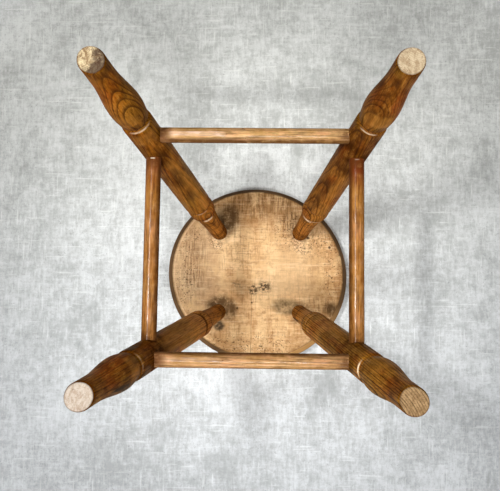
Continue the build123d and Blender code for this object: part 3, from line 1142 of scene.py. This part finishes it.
for rail, look in rail_looks.items():
    line, length = rail_template(rail)
    matrix = rail_frame(rail, rail_past_axis * mm)
    piece = turn("turned_" + rail, line, None, rail_finish(rail, **look), rail_grid, {
        "Foot": matrix.to_translation(), "Lean": matrix.to_euler(), "Piece length": length * mm,
        "Short way": 0.99, "Long way turn": 0.3,
        "Wander": 0.22 * mm, "Wander length": 40 * mm, "Seed": len(rail) * 3.7,
        "Rubbed side": matrix.to_3x3().inverted() @ Vector((0, 0, 1)),
        "Rubbed depth": (1.6 if rail == "stretcher_front" else 0.5) * mm,
    })
    stands_for(piece, rail)

# %% [markdown]
# ## Seat board
# The seat is sawn round from one wide board and is a little wider one way. Its underside was never
# finished: it is pale, shows its straight grain, and has gathered stains, specks and worm holes. The
# edge and the top are polished dark by use. The lathe tree makes it too, from the section of half a
# board, and the four sockets are bored through it.

# %% Template of the seat, in mm
seat_long, seat_short, seat_turn = 285.0, 275.0, math.radians(26.5)
bevel_width, bevel_height, top_round = 6.5, 9.0, 7.0
seat_dish = 0.8
top_clearance = 0.4     # the worn top lies this far under the solid's
under_steps, under_kept, round_steps, top_steps = 60, 56, 9, 41


def seat_template():
    edge = seat_long / 2
    flat_edge = edge - top_round
    top = seat_thickness / mm - top_clearance
    points = [(edge * k / under_steps, 0.0, 0.0) for k in range(under_kept)]
    points += [(edge - bevel_width, 0.0, 0.3), (edge, bevel_height, 1.0), (edge, top - top_round, 1.0)]
    for a in (math.pi / 2 * k / round_steps for k in range(1, round_steps + 1)):
        points.append((flat_edge + top_round * math.cos(a), top - top_round + top_round * math.sin(a), 0.5))
    for r in (flat_edge * k / top_steps for k in range(top_steps - 1, -1, -1)):
        points.append((r, top - seat_dish * (1 - (r / flat_edge) ** 2), 0.0))
    return template("template seat", points)


# %% [markdown]
# The stains, the painted shade and the legs' painted shadows lie where they lie, so the board gets
# a small map: soft ovals, each at its own place. A painted mask would hold more, but an oval can be
# moved by changing two numbers.


# %% Finish of the seat
def oval_distance(place, x, y, across, along, turned=0.0):
    """How far a place is from an oval's middle, seen along Z: 1 on the oval. Sizes in mm."""
    inputs = {
        "Vector": place, "Location": (x * mm, y * mm, 0.0),
        "Rotation": (0, 0, math.radians(turned)), "Scale": (across * mm, along * mm, 1.0),
    }
    return off_axis(add("ShaderNodeMapping", inputs, vector_type="TEXTURE")[0])


def patches(place, *ovals):
    """Soft ovals on the board: x, y, two half sizes in mm, a turn in degrees, how soft, how strong."""
    found = []
    for x, y, across, along, turned, soft, amount in ovals:
        away = oval_distance(place, x, y, across, along, turned)
        found.append(ramp(away, 1 - soft, 1 + soft, amount, 0))
    return most(*found)


def seat_finish():
    material, place = new_finish("seat board")
    grain = seated(place, placed((8, 0, 900), (math.radians(90), 0, 0)))
    wood = use(growth, {"Vector": grain, "Ring width": 3.4 * mm, "Wave length": 0.12})
    aged = use(handling, {"Vector": place, "Cloud size": 0.05, "Nick amount": 0.8})
    lines = noise(place, 560, 4, 0.7, by=(1, 0.07, 1))
    saw = noise(place, 430, 4, 0.7, by=(0.07, 1, 1))
    wide = noise(place, 60, 3, 0.55, by=(1, 0.22, 1))
    mottled = noise(place, 120, 6, 0.72, 0.3)
    broken = ramp(noise(place, 85, 5, 0.72), 0.42, 0.6)
    side = axes_of(place)

    # painted shade: the front third, the left side, the whole border and two patches toward the back
    rim = oval_distance(place, 0, 0, seat_long / 2, seat_short / 2, math.degrees(seat_turn))
    shaded_border = ramp(rim, 0.86, 0.96, 0, 0.85) * ramp_mm(side["X"], -40, 100, 0.35, 1)
    shaded = patches(
        place, (-96, -14, 34, 64, 0, 0.6, 0.17), (104, 44, 28, 36, 20, 0.6, 0.42),
        (0, 116, 90, 44, 0, 0.7, 0.34),
    )
    shaded = most(ramp_mm(side["Y"], -48, -108, 0, 0.75), shaded_border, shaded)
    cover = ramp(noise(place, 46, 5, 0.7), 0.36, 0.62, 0.4, 1)

    # streaks, dirt and painted shade round the four sockets, and painted shadows of the legs
    streak_zone = patches(
        place, (-102, -14, 22, 56, 0, 0.6, 0.7), (-52, -92, 20, 26, 10, 0.7, 1),
        (52, -86, 16, 22, 20, 0.6, 1), (117, 57, 13, 10, 20, 0.6, 1), (92, 48, 30, 12, 10, 0.6, 0.7),
        (-30, -110, 60, 20, 0, 0.6, 1), (20, -118, 70, 16, 0, 0.7, 1),
    )
    streaks = ramp(lines, 0.42, 0.6) * (streak_zone * ramp(saw, 0.34, 0.52, 0.4, 1))
    painted_leg_shadows = patches(
        place, (-47, -89, 16, 26, 10, 0.5, 1), (-60, 47, 20, 12, -15, 0.45, 1), (-42, 56, 10, 17, 0, 0.45, 1),
        (118, 54, 12, 10, 20, 0.6, 1),
    )
    painted_grey_shadow = patches(place, (47, 51, 23, 12, 6, 0.4, 1)) * ramp(mottled, 0.36, 0.56, 0.75, 1)
    socket_dirt_and_shade = most(*[ramp_mm(line_distance(place, f), tenon_radius, 24, 1, 0) for f in leg_frames.values()])

    # specks, worm holes, a scar, two chips, a knot and a drying shake
    specks = ramp(noise(place, 420, 2, 0.5), 0.61, 0.66) * patches(
        place, (122, -20, 14, 70, 8, 0.6, 1), (90, -50, 30, 20, 0, 0.6, 1), (2, 112, 70, 18, 0, 0.6, 1),
        (-69, 104, 14, 9, 30, 0.6, 1), (50, -72, 22, 30, 20, 0.6, 1), (-112, 0, 16, 60, 0, 0.6, 1),
        (-98, -66, 14, 12, 0, 0.6, 1),
    )
    dots = patches(
        place, (80, -59, 2.2, 2.4, 0, 0.4, 1), (114, -44, 2, 2.2, 0, 0.4, 1),
        (-35, 15, 4.5, 1.4, 20, 0.5, 0.6), (-8, 45, 1.4, 1.6, 0, 0.5, 1), (-31, 54, 1.6, 2, 0, 0.5, 1),
    )
    scar = patches(
        place, (-6, 25, 7, 8, 0, 0.4, 1), (11, 20, 10, 8, 0, 0.4, 1), (-30, 18, 7, 3, 10, 0.5, 0.6),
    ) * ramp(noise(place, 250, 3, 0.6), 0.455, 0.5)
    chips = patches(place, (66, -44, 13, 9, 20, 0.5, 1), (-66, -48, 13, 8, 30, 0.5, 1))
    chipping = noise(place, 190, 3, 0.6)
    chip_edge = chips * band(chipping, 0.48, 0.012, 0.015)
    knot = patches(place, (-59, 82, 8.5, 7.5, 0, 0.35, 1)) * ramp(noise(place, 240, 3, 0.6), 0.3, 0.5, 0.6, 1)
    wobble = scaled(vcalc("SUBTRACT", noise(place, 30, out="Color"), (0.5, 0.5, 0.5)), 3 * mm)
    crack = axes_of(vcalc("ADD", place, wobble))
    shake = band_mm(crack["X"], -8.6, 0.15, 0.5) * ramp_mm(crack["Y"], 38, 60)
    # a painted highlight along the lower arris, on the left
    arris_highlight = band(rim, 0.93, 0.004, 0.006) * ramp_mm(side["X"], -40, -90)

    raw = coats(
        mix(aged["Cloud"], (212, 170, 118), (242, 206, 156)),
        (ramp(wide, 0.38, 0.66, 0, 0.55), (188, 138, 88)),
        (ramp(mottled, 0.46, 0.66, 0, 0.6), (152, 104, 62)),
        (ramp(mottled, 0.28, 0.44, 0.45, 0), (246, 216, 172)),
        (ramp(lines, 0.52, 0.66, 0, 0.55), (138, 92, 52)),
        (ramp(saw, 0.52, 0.66, 0, 0.4), (146, 100, 58)),
        (ramp(saw, 0.34, 0.46, 0.4, 0), (250, 222, 180)),
        (patches(place, (-98, -8, 44, 80, 0, 0.6, 0.34)), (196, 172, 142)),
        # painted light: a paler patch right of the middle
        (patches(place, (46, -4, 44, 46, 0, 0.7, 0.4)), (240, 206, 160)),
        (shaded * cover, (122, 80, 38)),
        (streaks * 0.75, (92, 62, 34)),
        # dirt and painted shade round the sockets, then the painted shadows of the legs
        (socket_dirt_and_shade * broken * 0.7, (104, 72, 42)),
        (painted_leg_shadows * ramp(mottled, 0.34, 0.54, 0.5, 1) * 0.9, (80, 56, 32)),
        (painted_grey_shadow, (108, 86, 58)),
        (chips * ramp(chipping, 0.5, 0.58) * 0.5, (236, 198, 156)),
        (most(specks, scar, dots, chip_edge) * 0.85, (60, 38, 22)),
        (knot * 0.9, (54, 45, 36)),
        (shake * 0.55, (70, 46, 28)),
        (arris_highlight * 0.35, (236, 204, 164)),
        (ramp(rim, 0.938, 0.955, 0, 0.7), (96, 66, 38)),
    )

    # the polished edge and top
    bevel = ramp(side["Z"], seat_underside + 11 * mm, seat_underside + 7 * mm)
    # painted light: the bevel is lighter on the side toward the back
    bevel_lit_side = vcalc("DOT_PRODUCT", outward(place), bearing(67))
    polished = coats(
        mix(aged["Cloud"], (86, 62, 40), (122, 90, 58)),
        (wood["Late wood"] * 0.5, (64, 40, 20)),
        (ramp(lines, 0.5, 0.7, 0, 0.5), (68, 44, 24)),
        (bevel * ramp(bevel_lit_side, 0.6, 0.98, 0, 0.85), (188, 142, 86)),
        (aged["Nicks"] * 0.8, (40, 24, 12)),
    )
    outside = ramp(side["Z"], seat_underside + 0.05 * mm, seat_underside + 0.5 * mm)
    arris = band(side["Z"], seat_underside + 0.4 * mm, 0.3 * mm, 0.6 * mm)
    colour = coats(raw, (outside, polished), (arris * (aged["Rubbed"] * 0.7), (214, 176, 128)))
    height = lines * 0.5 + saw * 0.25 - most(specks, scar * 0.7, dots, shake, aged["Nicks"])
    finish_surface(colour, 0.82 - outside * 0.42, height, 0.35 * mm, 0.04, outside * 0.3, 0.3)
    return material


seat = turn("sawn_seat_board", seat_template(), seat_cutter(), seat_finish(), seat_grid, {
    "Foot": Vector((0, 0, seat_underside)), "Short way": seat_short / seat_long,
    "Long way turn": seat_turn, "Wander": 0.3 * mm, "Wander length": 45 * mm, "Seed": 5.0,
})
stands_for(seat, "seat_board")

# %% [markdown]
# ## Wedges
# A wedge spreads each tenon in its socket. Only its end shows, on the seat's top: darker end grain
# flush with the tenon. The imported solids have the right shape, so they stay and only get a finish.


# %% Finish of the wedges
def wedge_finish():
    material, place = new_finish("wedge end grain")
    aged = use(handling, {"Vector": place, "Cloud size": 0.01, "Nick amount": 0.8})
    fine = noise(place, 1200, 2, 0.6)
    colour = mix(aged["Cloud"], (92, 60, 32), (124, 84, 46))
    colour = mix(ramp(fine, 0.5, 0.7, 0, 0.5), colour, (48, 30, 16))
    finish_surface(colour, ramp(fine, 0.3, 0.7, 0.45, 0.6), fine, 0.15 * mm, 0.1, 0.2, 0.3)
    return material


wedge_wood = wedge_finish()
for leg in leg_sides:
    for slot in nodes[leg.replace("leg", "tenon_wedge")].material_slots:
        slot.material = wedge_wood
print("wedges finished:", len(leg_sides))

# %% [markdown]
# ## Clear up
# The templates, the cutters and the tree have done their work. What stays is plain meshes, one for
# each real piece, all inside the imported model's box.

# %% Clear up
for scrap in [o for o in bpy.data.objects if o.name.startswith(("template ", "cutter "))]:
    bpy.data.objects.remove(scrap)
